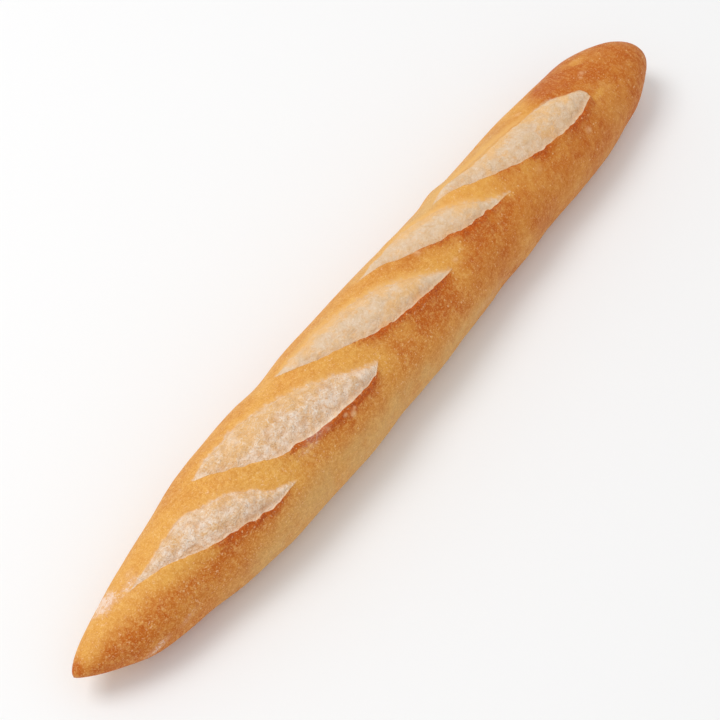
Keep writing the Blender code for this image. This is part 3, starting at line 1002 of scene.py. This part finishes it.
# %% Strands, grain, creases and pits
uneven = t.smooth(given["Torn"], 0.5, 1.0, 0.3, 1.0)
strands = t.noise(where, 3.2, 4.0, 0.64, 1.6)
grain = t.noise(where, 0.85, 2.0, 0.6)
swirl = vector_math(t, "MULTIPLY", t.noise(where, 4.0, output="Color"), (3.0, 3.0, 3.0))
pits = cells(t, vector_math(t, "ADD", where, swirl), 3.6, "SMOOTH_F1")["Distance"]
creases = t.math("ABSOLUTE", t.math("SUBTRACT", t.noise(where, 7.0, 3.0, 0.55, 1.2), 0.5))
creases = t.times(t.smooth(creases, 0.0, 0.05, 1.0, 0.0), t.smooth(t.noise(where, 10.0, 1.0), 0.42, 0.58))
print(len(crumb_group.nodes), "crumb nodes")

# %% Lay them over the crumb, with painted shade in its hollows and painted highlight on its ridges
# Painted shade: the colours of the creases and pits darken the hollows.
CREASE_SHADE, PIT_SHADE = colour(214, 160, 106), colour(214, 158, 102)
# The second colour here is painted light for crumb in the shade of the lip.
DRIED, PAINTED_LIGHT_CRUMB = colour(240, 188, 116), colour(255, 240, 218)
# A noise, where it starts and is full, how much, and the colour: darker where the relief is low, painted
# shade, and lighter where it is high, painted highlight.
HOLLOW_SHADE_AND_RIDGE_LIGHT = (
    (strands, 0.54, 0.7, 0.6, colour(220, 160, 98)), (strands, 0.47, 0.33, 0.7, colour(254, 240, 226)),
    (grain, 0.53, 0.75, 0.75, colour(212, 154, 92)), (grain, 0.47, 0.27, 0.65, colour(252, 238, 222)),
)
for part, low, high, strength, part_colour in HOLLOW_SHADE_AND_RIDGE_LIGHT:
    tone = t.mix(t.times(uneven, t.smooth(part, low, high, 0.0, strength)), tone, part_colour)
tone = t.mix(t.times(creases, 0.22), tone, CREASE_SHADE)
tone = t.mix(t.times(uneven, t.smooth(pits, 0.42, 0.72, 0.0, 0.45)), tone, PIT_SHADE)
tone = t.mix(t.times(given["Toast"], 0.28), tone, DRIED)
# Painted light: crumb in the lip's shade is lightened towards a near white.
tone = t.mix(t.times(given["Painted_light_under_lip"], 0.55), tone, PAINTED_LIGHT_CRUMB)
t.put(out["Color"], tone)
print(len(crumb_group.nodes), "crumb nodes")

# %% Height of the crumb
height = t.plus(t.about(strands, 0.5, -1.3), t.about(grain, 0.5, -0.5))
height = t.plus(height, t.about(pits, 0.4, -1.2))
height = t.plus(t.times(height, uneven), t.about(lumps, 0.5, -1.6))
t.put(out["Height"], t.plus(height, t.times(creases, -0.12)))
print("crumb nodes", len(crumb_group.nodes))

# %% [markdown]
# ## Baked bread
# Crust and crumb are one skin, so they are one material: the "opening" mask, roughened by a noise,
# chooses between the two groups and draws the ragged borders of the scores. The shader takes the colour,
# the roughness and the bump. Bread hardly shines, so its specular level is low. Subsurface light could be
# added, but at this size it only blurs the crumb.

# %% The material of the whole loaf
bread = bpy.data.materials.new("baked bread")
bread.use_nodes = True
t = Tree(bread.node_tree)
shader = bread.node_tree.nodes["Principled BSDF"]
place = t.node("ShaderNodeTexCoord").outputs["Object"]
where = t.node("ShaderNodeVectorMath", {0: place, "Scale": 1.0 / MM}, operation="SCALE").outputs[0]


def skin_of(made, names):
    """A group with its place and masks linked to it."""
    inputs = {name: t.mask(name.lower()) for name in names}
    return t.node("ShaderNodeGroup", {"Vector": where, **inputs}, node_tree=made).outputs


crust, crumb = skin_of(crust_group, CRUST_MASKS), skin_of(crumb_group, CRUMB_MASKS)
print("material", bread.name)

# %% Choose crust or crumb, and feed the shader
BUMP_DEPTH, BUMP_STRENGTH = 0.001, 0.8
CRUMB_ROUGHNESS = 0.85
SPECULAR_LEVEL = 0.18

ragged = t.plus(t.mask("opening"), t.about(t.noise(where, 2.5, 3.0, 0.6), 0.5, 1.5))
is_crumb = t.smooth(ragged, 0.0, 1.0)
t.put(shader.inputs["Base Color"], t.mix(is_crumb, crust["Color"], crumb["Color"]))
t.put(shader.inputs["Roughness"], t.smooth(is_crumb, 0.0, 1.0, crust["Roughness"], CRUMB_ROUGHNESS))
relief = t.smooth(is_crumb, 0.0, 1.0, crust["Height"], crumb["Height"])
bump = t.node("ShaderNodeBump", {"Strength": BUMP_STRENGTH, "Distance": BUMP_DEPTH, "Height": relief})
t.put(shader.inputs["Normal"], bump.outputs[0])
shader.inputs["Specular IOR Level"].default_value = SPECULAR_LEVEL
loaf.data.materials.append(bread)
print("nodes in the material", len(bread.node_tree.nodes))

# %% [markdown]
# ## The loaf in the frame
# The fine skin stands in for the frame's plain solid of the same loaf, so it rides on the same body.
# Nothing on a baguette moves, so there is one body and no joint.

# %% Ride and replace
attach(loaf, "root")
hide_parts("baguette")
print("loaf rides on root and replaces baguette")

# %% [markdown]
# ## A pale floor and soft light
# Bread is judged best on plain white, in the broad light of a window or a soft box. A bright sky alone
# leaves it flat, so one large lamp above the +Y side adds the shadow at its foot and the shape of its
# ears. The floor is stage only and lies half a millimetre below zero, so that it never cuts the base.

# %% Floor
FLOOR_WHITE, FLOOR_ROUGHNESS = (0.93, 0.93, 0.93, 1), 0.9
FLOOR_HALF, FLOOR_TOP = 6.0, -0.0005

floor_material = bpy.data.materials.new("pale floor")
floor_material.use_nodes = True
floor_shader = floor_material.node_tree.nodes["Principled BSDF"]
floor_shader.inputs["Base Color"].default_value = FLOOR_WHITE
floor_shader.inputs["Roughness"].default_value = FLOOR_ROUGHNESS
corners = [(x * FLOOR_HALF, y * FLOOR_HALF, FLOOR_TOP) for x, y in ((-1, -1), (1, -1), (1, 1), (-1, 1))]
floor_mesh = bpy.data.meshes.new("floor")
floor_mesh.from_pydata(corners, [], [(0, 1, 2, 3)])
floor = add_object("floor", floor_mesh)
floor.data.materials.append(floor_material)
print("floor", 2 * FLOOR_HALF, "m wide")

# %% Sky and lamp
SKY_WHITE, SKY_STRENGTH = (1.0, 1.0, 1.0, 1), 0.72
LAMP_PLACE, LAMP_TARGET = Vector((-0.6, 0.95, 2.0)), Vector((0, 0, 0.03))
LAMP_SIZE, LAMP_POWER = 1.1, 20.0

world = bpy.data.worlds.new("soft white")
world.use_nodes = True
background = world.node_tree.nodes["Background"]
background.inputs["Color"].default_value = SKY_WHITE
background.inputs["Strength"].default_value = SKY_STRENGTH
bpy.context.scene.world = world
lamp = bpy.data.lights.new("soft box", "AREA")
lamp.shape = "SQUARE"
lamp.size = LAMP_SIZE
lamp.energy = LAMP_POWER
soft_box = add_object("soft box", lamp)
soft_box.location = LAMP_PLACE
soft_box.rotation_euler = (LAMP_TARGET - LAMP_PLACE).to_track_quat("-Z", "Y").to_euler()
print("lamp", LAMP_POWER, "W at", tuple(round(v, 2) for v in LAMP_PLACE))

# %% [markdown]
# ## Camera
# A long loaf looks most natural from above and a little from the side, through a long lens that hardly
# narrows it with distance. The camera is placed by two angles and a distance from the point it looks at,
# which is easier to judge than six numbers for place and turn.

# %% Camera
AZIMUTH, ELEVATION, DISTANCE = math.radians(-54.49), math.radians(55.0), 1.0
LOOKS_AT = Vector((-0.0276, -0.0029 - SHIFT_Y, 0.025))
FOCAL_LENGTH, SENSOR_WIDTH = 96.22, 36.0

camera_data = bpy.data.cameras.new("camera")
camera_data.lens = FOCAL_LENGTH
camera_data.sensor_width = SENSOR_WIDTH
camera = add_object("camera", camera_data)
level = math.cos(ELEVATION)
back = Vector((math.sin(AZIMUTH) * level, -math.cos(AZIMUTH) * level, math.sin(ELEVATION)))
camera.location = LOOKS_AT + back * DISTANCE
camera.rotation_euler = back.to_track_quat("Z", "Y").to_euler()
bpy.context.scene.camera = camera
bpy.context.scene.view_settings.view_transform = "Standard"
bpy.context.scene.view_settings.look = "None"
print("camera at", [round(v, 3) for v in camera.location])

# %% [markdown]
# ## The end
